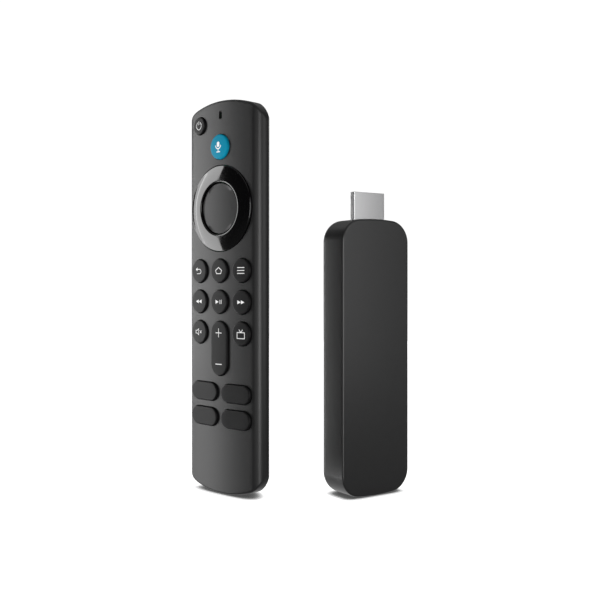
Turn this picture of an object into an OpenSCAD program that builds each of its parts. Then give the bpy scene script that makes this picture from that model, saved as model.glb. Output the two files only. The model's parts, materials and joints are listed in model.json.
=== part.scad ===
// A streaming media stick with its voice remote, both standing on end side by side.
// Each piece is drawn in the frame of the item it belongs to: x across the face, y from the
// front into the depth, z up from the lower end. The items are then turned and set side by side.

/* [Placing of the set] */
// Turn of the remote about its length, in degrees, its face towards the left
remote_turn = 42.3; // [30:0.1:55]
// Turn of the stick about its length, in degrees, its face towards the right
stick_turn = 33.9; // [20:0.1:45]
// Distance across between the middles of the remote and the stick
set_spacing = 47.2; // [46:0.1:80]
// How far the remote's middle stands behind the stick's
set_stagger = 2.3; // [-10:0.1:10]

/* [Remote case] */
// Width of the remote
remote_w = 38; // [36:0.5:44]
// Length of the remote
remote_len = 142; // [140:0.5:170]
// Radius of the crown across the front
crown_r = 170; // [140:5:300]
// Rounding of the long front edges
front_edge_r = 4; // [3.5:0.1:4.5]
// Straight stretch of the side walls behind that rounding
side_flat = 0.35; // [0.2:0.05:0.8]
// Rounding of the long back edges
back_edge_r = 2; // [1.6:0.1:3]
// Radius of the arched ends
end_r = 48; // [40:1:90]
// Radius of the four corners, seen from the front
corner_r = 7.5; // [6:0.5:10]
// Rounding of the front edges at the two ends
end_front_r = 0.8; // [0.4:0.1:1]
// Rounding of the back at the two ends
end_back_r = 10; // [8:0.5:11]
// Wall of the front and rear cases
case_wall = 1.1; // [0.9:0.05:1.3]
// Wall of the battery cover
cover_wall = 1; // [0.8:0.05:1.3]
// Distance from the top end down to the top of the battery cover
cover_drop = 19; // [18:0.5:22]

/* [Remote keys] */
// Distance between the key columns
column_pitch = 11.08; // [10.6:0.02:11.4]
// Radius of the round keys
key_r = 4.27; // [3.8:0.01:4.4]
// Radius of the power key
power_r = 3.2; // [2.8:0.1:3.8]
// Radius of the voice key
voice_r = 4.5; // [4:0.1:5]
// Height of the key tops above the face
key_rise = 0.8; // [0.5:0.05:1]
// Rounding of the key shoulders
key_shoulder = 0.4; // [0.2:0.05:0.45]
// Rise of the voice key's crowned top over its edge
voice_dome = 0.3; // [0.1:0.05:0.5]
// Gap around every key in its opening
key_gap = 0.18; // [0.14:0.01:0.25]
// Travel of a pressed key
key_travel = 0.35; // [0.2:0.05:0.35]
// Distance from the top end down to the power key
power_drop = 8; // [7:0.5:10]
// Distance from the top end down to the voice key
voice_drop = 16.8; // [16:0.2:17.4]
// Gap between the voice key and the navigation ring
voice_ring_gap = 2.2; // [2:0.1:3]
// Gap between the navigation ring and the upper row of three keys
ring_row_gap = 2.73; // [2.2:0.01:3]
// Distance between the rows of three keys
row_pitch = 11.2; // [10.9:0.1:11.3]
// Length of the volume rocker
rocker_len = 19.7; // [18:0.1:20.4]
// Length of an app key
app_len = 14.35; // [13:0.05:14.6]
// Height of an app key
app_h = 6.6; // [5.6:0.1:6.8]
// Gap between the left and right app keys
app_gap = 2; // [1.8:0.1:3]
// Gap between the volume rocker and the upper row of app keys
rocker_app_gap = 2.77; // [2.2:0.01:3.5]
// Distance between the rows of app keys
app_pitch = 9.1; // [8.8:0.1:10]
// Distance from the top end down to the microphone slot
mic_drop = 5.3; // [5:0.1:6]
// Length of the microphone slot
mic_slot_len = 2.9; // [2:0.1:3.2]
// Width of the microphone slot
mic_slot_w = 1.5; // [1:0.1:1.8]

/* [Navigation ring] */
// Outer radius of the ring
ring_r = 15.5; // [14.5:0.1:15.6]
// Inner radius of the ring
ring_hole_r = 9.5; // [9:0.1:10]
// Height of the ring's inner edge above the face
ring_rise = 0.8; // [0.5:0.05:1.2]
// Bevel of the ring's inner edge
ring_bevel = 0.3; // [0.15:0.05:0.4]
// Height of the select key's top above the face
select_rise = 0.3; // [0:0.05:0.4]
// Gap between the ring and the select key
select_gap = 0.3; // [0.2:0.05:0.5]

/* [Remote inside] */
// Thickness of the remote's circuit board
board_t = 0.6; // [0.5:0.05:0.8]
// Diameter of a AAA cell
cell_d = 10.5; // [9.8:0.1:10.5]
// Length of a AAA cell over its nub
cell_len = 44.5; // [43:0.1:44.6]

/* [Stick housing] */
// Width of the stick
stick_w = 30; // [29:0.5:34]
// Length of the stick's housing
stick_len = 99; // [96:0.5:120]
// Thickness of the stick
stick_t = 14; // [14:0.1:18]
// Rounding of the stick's front edges
stick_front_edge_r = 0.7; // [0.4:0.1:1]
// Rounding of the stick's back edges
stick_back_edge_r = 3.5; // [2.5:0.1:3.8]
// Radius of the stick's arched ends
stick_end_r = 85; // [60:1:150]
// Radius of the stick's four corners, seen from the front
stick_corner_r = 8; // [6:0.5:9]
// Wall of the stick's housing
stick_wall = 1.5; // [1.2:0.1:1.8]
// Depth of the seam between the stick's front shell and rear cover
stick_seam = 11.5; // [11:0.1:12]

/* [Stick plug and socket] */
// Width of the HDMI plug
plug_w = 13.9; // [13.5:0.1:14.2]
// Thickness of the HDMI plug
plug_t = 4.45; // [4.2:0.05:4.6]
// How far the plug stands out of the housing
plug_out = 9.8; // [8:0.1:12]
// How far the plug reaches into the housing
plug_in = 14; // [10:0.5:18]
// Depth of the plug's wide side behind the front face
plug_depth = 4; // [3.8:0.05:4.2]
// Sheet of the plug and socket shells
sheet_t = 0.35; // [0.25:0.05:0.4]
// Width of the micro-USB socket
usb_w = 7.5; // [7:0.1:8]
// Thickness of the micro-USB socket
usb_t = 2.8; // [2.6:0.1:3]
// Length of the micro-USB socket
usb_len = 5.6; // [5:0.1:6.5]

/* [Stick inside] */
// Width of the stick's circuit board
stick_board_w = 25; // [24.6:0.1:25.4]
// Thickness of the stick's circuit board
stick_board_t = 1; // [0.8:0.1:1.2]
// Length of the shield can
can_len = 34; // [28:1:36]
// Width of the shield can
can_w = 17; // [14:0.5:17.4]

/* [Hidden] */
$fn = 64;
long_steps = 16;
short_steps = 8;
end_steps = 6;
least_r = 0.1;
fit_gap = 0.1;
slide_gap = 0.2;
reach = 200;

// Depths inside the remote, counted from the crown of its face
tab_gap = 0.12;
tab_t = 0.38;
tab_reach = 0.65;
tab_w = 2.4;
cap_skirt = 0.2;
cap_depth = case_wall + tab_gap + cap_skirt;
stem_r = 1.2;
stem_len = 0.63;
stem_root = 0.3;
stem_end = cap_depth + stem_len;
dome_h = 0.2;
dome_r = 2;
dome_gap = 0.05;
board_y = stem_end + key_travel + dome_gap + dome_h;
board_back = board_y + board_t;
board_side = 2.8;
board_end = 2.6;
cell_gap = 0.15;
cell_y = board_back + cell_gap + cell_d / 2;
remote_t = cell_y + cell_d / 2 + fit_gap + cover_wall;

// Crown, edges and back arc of the remote's cross-section
front_x = remote_w / 2 - front_edge_r;
front_y = crown_r - sqrt(pow(crown_r - front_edge_r, 2) - front_x * front_x);
split_y = front_y + side_flat;
back_x = remote_w / 2 - back_edge_r;
back_d = remote_t - split_y;
back_r = (back_x * back_x + back_d * back_d - back_edge_r * back_edge_r) / (2 * (back_d - back_edge_r));
barrel_clear = 0.3;
cover_top = remote_len - cover_drop;

// Key places
power_z = remote_len - power_drop;
voice_z = remote_len - voice_drop;
ring_z = voice_z - voice_r - voice_ring_gap - ring_r;
first_row_z = ring_z - ring_r - ring_row_gap - key_r;
second_row_z = first_row_z - row_pitch;
third_row_z = second_row_z - row_pitch;
rocker_z = third_row_z + key_r - rocker_len / 2;
app_z = rocker_z - (rocker_len + app_h) / 2 - rocker_app_gap;
app_low_z = app_z - app_pitch;
mic_z = remote_len - mic_drop;
app_x = (app_len + app_gap) / 2;
select_r = ring_hole_r - select_gap;
rocker_foot_inset = 3.8;
rocker_foot = rocker_len / 2 - rocker_foot_inset;
post_r = 1;
inner_post_x = column_pitch / 2;
inner_post_z = first_row_z - row_pitch / 2;
outer_post_x = 9;
post_step = 2;
high_post_z = ring_z + ring_r + post_step;
low_post_z = app_low_z - app_h - post_step;
post_places = [for (s = [-1, 1]) each [
    [s * inner_post_x, inner_post_z], [s * outer_post_x, high_post_z], [s * outer_post_x, low_post_z]]];

// Ring and carrier, as depths behind the face
ring_tilt_room = 0.45;
ring_under = 0.85;
carrier_y = ring_under + ring_tilt_room;
carrier_t = 0.4;
carrier_edge = 0.8;
carrier_in_r = ring_hole_r + carrier_edge;
carrier_out_r = ring_r - carrier_edge;
foot_circle_r = (carrier_in_r + carrier_out_r) / 2;
foot_gap = 0.35;
ring_skirt_t = 0.5;
ring_tab_gap = 0.6;
ring_tab_y = case_wall + ring_tab_gap;
ring_tab_t = 0.3;
ring_tab_w = 6;
ring_rim_y = 0.15;
ring_bulge = 0.15;

// Battery tray: a plate at the seam, cell walls on it and end walls for the contacts
plate_front = split_y - 1;
plate_back = split_y + 0.8;
tray_inset = max(case_wall, cover_wall) + slide_gap;
tray_wall = 1;
tray_x = cell_d / 2 + slide_gap;
contact_t = 0.35;
contact_half = 3.6;
spring_len = 4;
lower_cell_z = 18;
upper_cell_z = lower_cell_z + cell_len;
bay_low = lower_cell_z - spring_len;
bay_high = upper_cell_z + cell_len + contact_t;
side_wall_back = cell_y + 2;
end_wall_back = cell_y + contact_half;
cover_lip_t = 0.65;
rail_x = remote_w / 2 - 4.8;
rail_w = 1;
rail_lip = 1.5;
rail_lip_t = 0.7;
rail_lip_y = plate_back + cover_lip_t + 2 * slide_gap;
rail_root = 0.2;
rail_low = 22;
rail_high = cover_top - 8;
bulkhead_t = 1.2;

// Thumb dish in the battery cover, part of a ball
dish_r = 18;
dish_depth = 0.5;
dish_z = cover_top - 14;

// Depths inside the stick, counted from its front face
spreader_t = 0.8;
pad_t = 0.8;
can_h = 2.7;
stick_board_y = stick_wall + fit_gap + spreader_t + pad_t + can_h;
stick_board_back = stick_board_y + stick_board_t;
plug_low = stick_len - plug_in;
plug_high = stick_len + plug_out;
plug_side = 2.2;
plug_taper = 1.7;
plug_rim = 0.8;
slot_w = 11.4;
slot_t = 2;
slot_depth = 8;
slot_y = plug_depth + plug_side - 0.15;
usb_low = 1.2;
stick_board_low = usb_low + 0.4;
usb_y = stick_board_back;
usb_taper = 1.1;
can_z = 36;
chip_margin = 2;
stick_post_r = 1.4;
stick_post_side = 1.7;
stick_post_low = 14;
stick_post_drop = 7;
stick_post_x = stick_board_w / 2 - stick_post_side;
stick_post_z = [stick_post_low, plug_low - stick_post_drop];

// Points along an arc, with or without its two ends
function arc(x, y, r, a0, a1, n, ends = true) =
    [for (i = [ends ? 0 : 1 : ends ? n : n - 1])
        let (a = a0 + (a1 - a0) * i / n) [x + r * cos(a), y + r * sin(a)]];

// A long rectangle across a body's depth, its front corners and its back corners rounded
function side_view(t, length, front_r, back_r, inset) =
    let (f = max(front_r - inset, least_r), b = max(back_r - inset, least_r))
    concat(
        arc(inset + f, inset + f, f, 180, 270, end_steps),
        arc(t - inset - b, inset + b, b, 270, 360, end_steps),
        arc(t - inset - b, length - inset - b, b, 0, 90, end_steps),
        arc(inset + f, length - inset - f, f, 90, 180, end_steps));

// Outline of a slab with straight sides, an arched low end, an arched high end and round corners
function slab(w, h, low_r, low_c, high_r, high_c, inset = 0) =
    let (low_x = w / 2 - low_c,
         low_a = asin(low_x / (low_r - low_c)),
         low_y = low_r - (low_r - low_c) * cos(low_a),
         high_x = w / 2 - high_c,
         high_a = asin(high_x / (high_r - high_c)),
         high_y = h - high_r + (high_r - high_c) * cos(high_a))
    concat(
        arc(0, low_r, low_r - inset, 270 - low_a, 270 + low_a, long_steps, false),
        arc(low_x, low_y, low_c - inset, 270 + low_a, 360, short_steps),
        arc(high_x, high_y, high_c - inset, 0, 90 - high_a, short_steps),
        arc(0, h - high_r, high_r - inset, 90 - high_a, 90 + high_a, long_steps, false),
        arc(-high_x, high_y, high_c - inset, 90 + high_a, 180, short_steps),
        arc(-low_x, low_y, low_c - inset, 180, 270 - low_a, short_steps));

function remote_section(inset = 0) =
    slab(remote_w, remote_t, crown_r, front_edge_r, back_r, back_edge_r, inset);
function remote_outline(inset = 0) =
    slab(remote_w, remote_len, end_r, corner_r, end_r, corner_r, inset);
function stick_section(inset = 0) =
    [for (p = side_view(stick_t, stick_w, stick_front_edge_r, stick_back_edge_r, inset))
        [stick_w / 2 - p[1], p[0]]];
function stick_outline(inset = 0) =
    slab(stick_w, stick_len, stick_end_r, stick_corner_r, stick_end_r, stick_corner_r, inset);

// Reach of a turned cross-section along one axis, used to centre the set on the origin
function turned(points, angle, mid, axis) =
    [for (p = points) let (y = p[1] - mid)
        axis == 0 ? p[0] * cos(angle) - y * sin(angle) : p[0] * sin(angle) + y * cos(angle)];
remote_side = [for (axis = [0, 1]) turned(remote_section(), -remote_turn, remote_t / 2, axis)];
stick_side = [for (axis = [0, 1]) turned(stick_section(), stick_turn, stick_t / 2, axis)];
remote_step = [0, set_stagger];
stick_step = [set_spacing, 0];
set_middle = [for (axis = [0, 1])
    (min(min(remote_side[axis]) + remote_step[axis], min(stick_side[axis]) + stick_step[axis])
     + max(max(remote_side[axis]) + remote_step[axis], max(stick_side[axis]) + stick_step[axis])) / 2];
remote_at = remote_step - set_middle;
stick_at = stick_step - set_middle;

module at_remote() {
    translate([remote_at[0], remote_at[1], 0])
        rotate([0, 0, -remote_turn])
            translate([0, -remote_t / 2, 0]) children();
}

module at_stick() {
    translate([stick_at[0], stick_at[1], 0])
        rotate([0, 0, stick_turn])
            translate([0, -stick_t / 2, 0]) children();
}

// A spot on the remote's crowned face: x across, y up the length, z out of the face
module on_face(x, z) {
    translate([0, crown_r, z])
        rotate([0, 0, asin(x / crown_r)])
            translate([0, -crown_r, 0])
                rotate([90, 0, 0]) children();
}

// A flat shape in the plane of the face, from one depth to another
module plate(y0, y1) {
    translate([0, y1, 0]) rotate([90, 0, 0]) linear_extrude(y1 - y0) children();
}

// A round rod along the depth
module rod(x, z, y0, y1, r) {
    translate([x, y0, z]) rotate([-90, 0, 0]) cylinder(r = r, h = y1 - y0);
}

// A box in the frame of an item, from its low corner to its high corner
module block(a, b) {
    translate(a) cube(b - a);
}

// A body with its cross-section, its outline seen from the front and its outline seen from the side
module trimmed(section, outline, side) {
    intersection() {
        linear_extrude(reach) polygon(section);
        plate(-1, reach) polygon(outline);
        rotate([90, 0, 90]) linear_extrude(reach, center = true) polygon(side);
    }
}

module remote_body(inset = 0) {
    trimmed(remote_section(inset), remote_outline(inset),
            side_view(remote_t, remote_len, end_front_r, least_r, inset));
}

// The round-ended barrel that shapes the ends of the remote's back, just clear of its arch
module back_barrel(inset) {
    r = back_r + barrel_clear - inset;
    e = end_back_r - inset;
    translate([0, remote_t - back_r, 0])
        rotate_extrude()
            polygon(concat(
                [[0, inset]],
                arc(r - e, inset + e, e, 270, 360, short_steps),
                arc(r - e, remote_len - inset - e, e, 0, 90, short_steps),
                [[0, remote_len - inset]]));
}

// The remote's body with the ends of its back rounded, for the pieces behind the seam
module remote_back(inset = 0) {
    intersection() {
        remote_body(inset);
        back_barrel(inset);
    }
}

module stick_body(inset = 0) {
    trimmed(stick_section(inset), stick_outline(inset),
            side_view(stick_t, stick_len, stick_front_edge_r, stick_back_edge_r, inset));
}

// Half of a key cap's section: radius across, height up, with a rounded shoulder and a crowned or flat top
function cap_section(r, top, bottom, dome = 0) =
    let (flat = r - key_shoulder, n = dome > 0 ? short_steps : 1)
    concat(
        [[0, bottom], [r, bottom]],
        arc(flat, top - key_shoulder, key_shoulder, 0, 90, 4),
        [for (i = [1 : n]) let (t = 1 - i / n) [flat * t, top + dome * (1 - t * t)]]);

function mirrored(points) = concat(
    points,
    [for (i = [len(points) - 2 : -1 : 1]) [-points[i][0], points[i][1]]]);

// Outline of a pill with its long axis across
function pill(length, h) = concat(
    arc((length - h) / 2, 0, h / 2, -90, 90, 2 * short_steps),
    arc(-(length - h) / 2, 0, h / 2, 90, 270, 2 * short_steps));

// A pill-shaped cap with rounded shoulders, its long axis across
module pill_cap(length, h, top, bottom) {
    straight = length - h;
    section = cap_section(h / 2, top, bottom);
    for (s = [0, 180])
        rotate([0, 0, s])
            translate([straight / 2, 0, 0])
                rotate([0, 0, -90]) rotate_extrude(angle = 180) polygon(section);
    translate([-straight / 2, 0, 0])
        rotate([90, 0, 90]) linear_extrude(straight) polygon(mirrored(section));
}

// Two tabs that catch behind the case wall, above and below a key
module key_tabs(half_h, w) {
    for (s = [-1, 1])
        translate([-w / 2, s * half_h - (s > 0 ? 1 : tab_reach), -case_wall - tab_gap - tab_t])
            cube([w, 1 + tab_reach, tab_t]);
}

// Depth of the face at a distance from its middle line
function face_y(x) = crown_r - sqrt(crown_r * crown_r - x * x);

module key_stem(x, z) {
    rod(x, z, face_y(x) + cap_depth - stem_root, stem_end, stem_r);
}

module round_key(x, z, r, tint, dome = 0) {
    color(tint) at_remote() {
        on_face(x, z) {
            rotate_extrude() polygon(cap_section(r, key_rise, -cap_depth, dome));
            key_tabs(r, tab_w);
        }
        key_stem(x, z);
    }
}

module app_key(x, z) {
    color("#202122") at_remote() {
        on_face(x, z) {
            pill_cap(app_len, app_h, key_rise, -cap_depth);
            key_tabs(app_h / 2, 2 * tab_w);
        }
        key_stem(x, z);
    }
}

// Every round key: place across, height, radius
key_spots = [
    [-column_pitch, power_z, power_r], [0, voice_z, voice_r],
    for (z = [first_row_z, second_row_z], x = [-1, 0, 1]) [x * column_pitch, z, key_r],
    for (x = [-1, 1]) [x * column_pitch, third_row_z, key_r]];
app_spots = [for (z = [app_z, app_low_z], s = [-1, 1]) [s * app_x, z]];

module case_openings() {
    hole_low = -2 * case_wall;
    hole_h = 4 * case_wall;
    for (k = key_spots)
        on_face(k[0], k[1]) translate([0, 0, hole_low]) cylinder(r = k[2] + key_gap, h = hole_h);
    for (k = app_spots)
        on_face(k[0], k[1])
            translate([0, 0, hole_low])
                linear_extrude(hole_h) polygon(pill(app_len + 2 * key_gap, app_h + 2 * key_gap));
    on_face(0, rocker_z)
        translate([0, 0, hole_low])
            linear_extrude(hole_h)
                rotate(90) polygon(pill(rocker_len + 2 * key_gap, 2 * key_r + 2 * key_gap));
    rod(0, ring_z, -case_wall, 2 * case_wall, ring_r + slide_gap);
    on_face(0, mic_z)
        translate([0, 0, hole_low])
            linear_extrude(hole_h) rotate(90) polygon(pill(mic_slot_len, mic_slot_w));
}

module remote_front_case() {
    color("#2b2c2d") at_remote()
        difference() {
            union() {
                difference() {
                    remote_body();
                    remote_body(case_wall);
                    block([-reach, split_y, -reach], [reach, reach, reach]);
                }
                intersection() {
                    remote_body(case_wall / 2);
                    for (p = post_places) rod(p[0], p[1], 0, board_y, post_r);
                }
            }
            case_openings();
        }
}

// Cross-section of the tray's guide rail, which holds the battery cover's lip down
module rail_section() {
    polygon([
        [rail_x - rail_w, plate_back - rail_root], [rail_x, plate_back - rail_root], [rail_x, rail_lip_y],
        [rail_x + rail_lip, rail_lip_y], [rail_x + rail_lip, rail_lip_y + rail_lip_t],
        [rail_x - rail_w, rail_lip_y + rail_lip_t]]);
}

module remote_rear_case() {
    color("#242526") at_remote() {
        difference() {
            remote_back();
            remote_back(case_wall);
            block([-reach, -reach, -reach], [reach, split_y, reach]);
            block([-reach, -reach, -reach], [reach, reach, cover_top]);
        }
        intersection() {
            remote_back(case_wall / 2);
            block([-reach, split_y, cover_top], [reach, reach, cover_top + bulkhead_t]);
        }
        difference() {
            intersection() {
                remote_back(tray_inset);
                block([-reach, plate_front, -reach], [reach, plate_back, cover_top + bulkhead_t]);
            }
            block([-tray_x, -reach, bay_low], [tray_x, reach, bay_high]);
        }
        for (s = [-1, 1]) {
            block([s > 0 ? tray_x : -tray_x - tray_wall, plate_front, bay_low - tray_wall],
                  [s > 0 ? tray_x + tray_wall : -tray_x, side_wall_back, bay_high + tray_wall]);
            translate([0, 0, rail_low])
                linear_extrude(rail_high - rail_low) mirror([s < 0 ? 1 : 0, 0]) rail_section();
        }
        for (z = [bay_low - tray_wall, bay_high])
            block([-tray_x - tray_wall, plate_front, z], [tray_x + tray_wall, end_wall_back, z + tray_wall]);
    }
}

module battery_cover() {
    color("#242526") at_remote() {
        difference() {
            remote_back();
            remote_back(cover_wall);
            block([-reach, -reach, -reach], [reach, split_y + fit_gap, reach]);
            block([-reach, -reach, cover_top - fit_gap], [reach, reach, reach]);
            translate([0, remote_t - dish_depth + dish_r, dish_z]) sphere(r = dish_r);
        }
        intersection() {
            remote_back(cover_wall / 2);
            for (s = [-1, 1])
                block([s > 0 ? rail_x + slide_gap : -reach, plate_back + slide_gap, rail_low],
                      [s > 0 ? reach : -rail_x - slide_gap, rail_lip_y - slide_gap, rail_high]);
        }
    }
}

module cell(z) {
    nub_r = 1.9;
    nub_h = 1;
    color("#3c6e8f") at_remote()
        translate([0, cell_y, z]) {
            cylinder(d = cell_d, h = cell_len - nub_h);
            cylinder(r = nub_r, h = cell_len);
        }
}

module upper_cell() { cell(upper_cell_z); }
module lower_cell() { cell(lower_cell_z); }

// The flat plate of a battery contact, up from a height
module contact_plate(z) {
    block([-contact_half, cell_y - contact_half, z], [contact_half, end_wall_back, z + contact_t]);
}

module positive_contact() {
    color("#c9c4b4") at_remote() contact_plate(bay_high - contact_t);
}

// A bowed leaf on the lower end wall that pushes the cells up
module spring_contact() {
    bow = spring_len - contact_t - fit_gap;
    leaf = concat(arc(0, 0, bow, 0, 180, 2 * short_steps),
                  arc(0, 0, bow - contact_t, 180, 0, 2 * short_steps));
    color("#c9c4b4") at_remote() {
        contact_plate(bay_low);
        translate([-contact_half, cell_y, bay_low + contact_t])
            rotate([90, 0, 90]) linear_extrude(2 * contact_half) polygon(leaf);
    }
}

module remote_board() {
    board_w = remote_w - 2 * board_side;
    board_len = remote_len - 2 * board_end;
    color("#1f5a3a") at_remote()
        plate(board_y, board_back)
            translate([0, board_end]) polygon(slab(board_w, board_len, end_r, corner_r, end_r, corner_r));
}

dome_spots = concat(
    [for (k = key_spots) [k[0], k[1]]], app_spots, [[0, ring_z]],
    [for (s = [-1, 1]) each [
        [s * foot_circle_r, ring_z], [0, ring_z + s * foot_circle_r], [0, rocker_z + s * rocker_foot]]]);

module switch_domes() {
    color("silver") at_remote()
        for (p = dome_spots)
            translate([p[0], board_y, p[1]])
                rotate([90, 0, 0]) cylinder(r1 = dome_r, r2 = dome_r * 0.6, h = dome_h);
}

module microphone() {
    mic_w = 2.7;
    mic_len = 3.5;
    mic_t = 1;
    color("#b9a86a") at_remote()
        block([-mic_w / 2, board_y - mic_t, mic_z - mic_len / 2], [mic_w / 2, board_y, mic_z + mic_len / 2]);
}

module ir_emitter() {
    led_r = 1.5;
    led_x = 6;
    led_len = 4;
    led_z = remote_len - case_wall - 1 - led_len - led_r;
    color("#5a5d66") at_remote()
        translate([led_x, board_back + led_r, led_z]) {
            cylinder(r = led_r, h = led_len);
            translate([0, 0, led_len]) sphere(r = led_r);
        }
}

module radio_chip() {
    chip_w = 6;
    chip_t = 0.9;
    chip_x = -5;
    chip_z = cover_top + bulkhead_t + 4.5;
    color("#161718") at_remote()
        block([chip_x - chip_w / 2, board_back, chip_z - chip_w / 2],
              [chip_x + chip_w / 2, board_back + chip_t, chip_z + chip_w / 2]);
}

// Two feet under the ring or its carrier, at a right angle for the other pair
module nav_feet(angle, y0) {
    for (a = [angle, angle + 180])
        rod(foot_circle_r * cos(a), ring_z + foot_circle_r * sin(a), y0, stem_end, stem_r);
}

// The glossy ring tilts up and down on its own two feet
module nav_ring() {
    cone_steps = 6;
    cone_in = ring_hole_r + ring_bevel;
    cone_out = ring_r - ring_bevel;
    rim_h = ring_bevel - ring_rim_y;
    cone = [for (i = [0 : cone_steps])
        let (t = i / cone_steps)
        [cone_in + t * (cone_out - cone_in),
         ring_rise + t * (rim_h - ring_rise) + 4 * ring_bulge * t * (1 - t)]];
    section = concat(
        [[ring_hole_r, -ring_under], [ring_hole_r, ring_rise - ring_bevel]],
        cone,
        [[ring_r, -ring_rim_y], [ring_r, -ring_tab_y - ring_tab_t],
         [ring_r - ring_skirt_t, -ring_tab_y - ring_tab_t], [ring_r - ring_skirt_t, -ring_under]]);
    color("#0b0b0c") at_remote() {
        on_face(0, ring_z) {
            rotate_extrude($fn = 96) polygon(section);
            for (s = [-1, 1])
                translate([-ring_tab_w / 2, s > 0 ? ring_r - ring_skirt_t : -ring_r - tab_reach,
                           -ring_tab_y - ring_tab_t])
                    cube([ring_tab_w, ring_skirt_t + tab_reach, ring_tab_t]);
        }
        nav_feet(90, ring_under - stem_root);
    }
}

// The frame that carries the ring tilts to the left and right on the other two feet
module nav_carrier() {
    color("#3a3b3c") at_remote() {
        plate(carrier_y, carrier_y + carrier_t)
            translate([0, ring_z])
                difference() {
                    circle(carrier_out_r);
                    circle(carrier_in_r);
                    for (s = [-1, 1]) translate([0, s * foot_circle_r]) circle(stem_r + foot_gap);
                }
        nav_feet(0, carrier_y + carrier_t / 2);
    }
}

module select_key() {
    color("#2b2c2d") at_remote() {
        on_face(0, ring_z) rotate_extrude() polygon(cap_section(select_r, select_rise, -cap_depth));
        key_stem(0, ring_z);
    }
}

key_tint = "#202122";
module power_key() { round_key(-column_pitch, power_z, power_r, key_tint); }
module voice_key() { round_key(0, voice_z, voice_r, "#0a7fae", voice_dome); }
module back_key() { round_key(-column_pitch, first_row_z, key_r, key_tint); }
module home_key() { round_key(0, first_row_z, key_r, key_tint); }
module menu_key() { round_key(column_pitch, first_row_z, key_r, key_tint); }
module rewind_key() { round_key(-column_pitch, second_row_z, key_r, key_tint); }
module play_key() { round_key(0, second_row_z, key_r, key_tint); }
module forward_key() { round_key(column_pitch, second_row_z, key_r, key_tint); }
module mute_key() { round_key(-column_pitch, third_row_z, key_r, key_tint); }
module guide_key() { round_key(column_pitch, third_row_z, key_r, key_tint); }
module app_key_1() { app_key(app_spots[0][0], app_spots[0][1]); }
module app_key_2() { app_key(app_spots[1][0], app_spots[1][1]); }
module app_key_3() { app_key(app_spots[2][0], app_spots[2][1]); }
module app_key_4() { app_key(app_spots[3][0], app_spots[3][1]); }

module volume_rocker() {
    rocker_tab_y = case_wall + 0.5;
    rocker_tab_t = 0.35;
    color(key_tint) at_remote() {
        on_face(0, rocker_z) {
            rotate([0, 0, 90]) pill_cap(rocker_len, 2 * key_r, key_rise, -cap_depth - tab_t);
            for (s = [-1, 1])
                translate([-tab_w / 2, s > 0 ? rocker_len / 2 - 1 : -rocker_len / 2 - tab_reach,
                           -rocker_tab_y - rocker_tab_t])
                    cube([tab_w, 1 + tab_reach, rocker_tab_t]);
        }
        for (s = [-1, 1]) key_stem(0, rocker_z + s * rocker_foot);
    }
}

// Outline of the HDMI plug: full width at the front, drawn in towards the back
function plug_points(inset) =
    let (w = plug_w / 2 - inset, t = plug_t - inset, side = plug_side, back = plug_w / 2 - plug_taper - inset)
    [[-w, inset], [w, inset], [w, side], [back, t], [-back, t], [-w, side]];

module plug_prism(inset, z0, z1) {
    translate([0, plug_depth, z0]) linear_extrude(z1 - z0) polygon(plug_points(inset));
}

module hdmi_plug_shell() {
    color("#c8c9ca") at_stick()
        difference() {
            plug_prism(0, plug_low, plug_high);
            plug_prism(sheet_t, plug_low - 1, plug_high + 1);
        }
}

module hdmi_insulator() {
    color("#151516") at_stick()
        difference() {
            plug_prism(sheet_t, plug_low, plug_high - plug_rim);
            block([-slot_w / 2, slot_y - slot_t / 2, plug_high - plug_rim - slot_depth],
                  [slot_w / 2, slot_y + slot_t / 2, plug_high + 1]);
        }
}

// Ten contacts on the wide side of the slot, nine between them on the other
module hdmi_contacts() {
    pitch = 1;
    strip_w = 0.5;
    strip_t = 0.2;
    strip_high = plug_high - 1.5 * plug_rim;
    strip_low = plug_high - plug_rim - slot_depth;
    color("#c8a24a") at_stick()
        for (side = [-1, 1]) {
            count = side < 0 ? 10 : 9;
            y = slot_y + side * (slot_t - strip_t) / 2;
            for (i = [1 : count]) {
                x = (i - (count + 1) / 2) * pitch;
                block([x - strip_w / 2, y - strip_t / 2, strip_low],
                      [x + strip_w / 2, y + strip_t / 2, strip_high]);
            }
        }
}

module usb_opening() {
    clear = 0.5;
    past = 1;
    seat = 0.6;
    block([-usb_w / 2 - clear, usb_y - clear, -past],
          [usb_w / 2 + clear, usb_y + usb_t + clear, usb_low + seat]);
}

module stick_posts(y0, y1) {
    for (s = [-1, 1], z = stick_post_z) rod(s * stick_post_x, z, y0, y1, stick_post_r);
}

module stick_front_shell() {
    color("#2d2e2f") at_stick()
        difference() {
            union() {
                difference() {
                    stick_body();
                    stick_body(stick_wall);
                    block([-reach, stick_seam, -reach], [reach, reach, reach]);
                }
                stick_posts(stick_wall / 2, stick_board_y);
            }
            plug_prism(-fit_gap, stick_len - 5, stick_len + 5);
            usb_opening();
        }
}

module stick_rear_cover() {
    lip = 1;
    lip_t = 0.8;
    color("#2d2e2f") at_stick() {
        difference() {
            stick_body();
            stick_body(stick_wall);
            block([-reach, -reach, -reach], [reach, stick_seam, reach]);
        }
        difference() {
            stick_body(stick_wall + fit_gap);
            stick_body(stick_wall + fit_gap + lip_t);
            block([-reach, -reach, -reach], [reach, stick_seam - lip, reach]);
        }
        stick_posts(stick_board_back, stick_t - stick_wall / 2);
    }
}

module player_board() {
    color("#17402c") at_stick()
        plate(stick_board_y, stick_board_back)
            translate([0, stick_board_low])
                polygon(slab(stick_board_w, plug_low - stick_board_low, stick_end_r, stick_corner_r,
                             reach, stick_wall));
}

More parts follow.
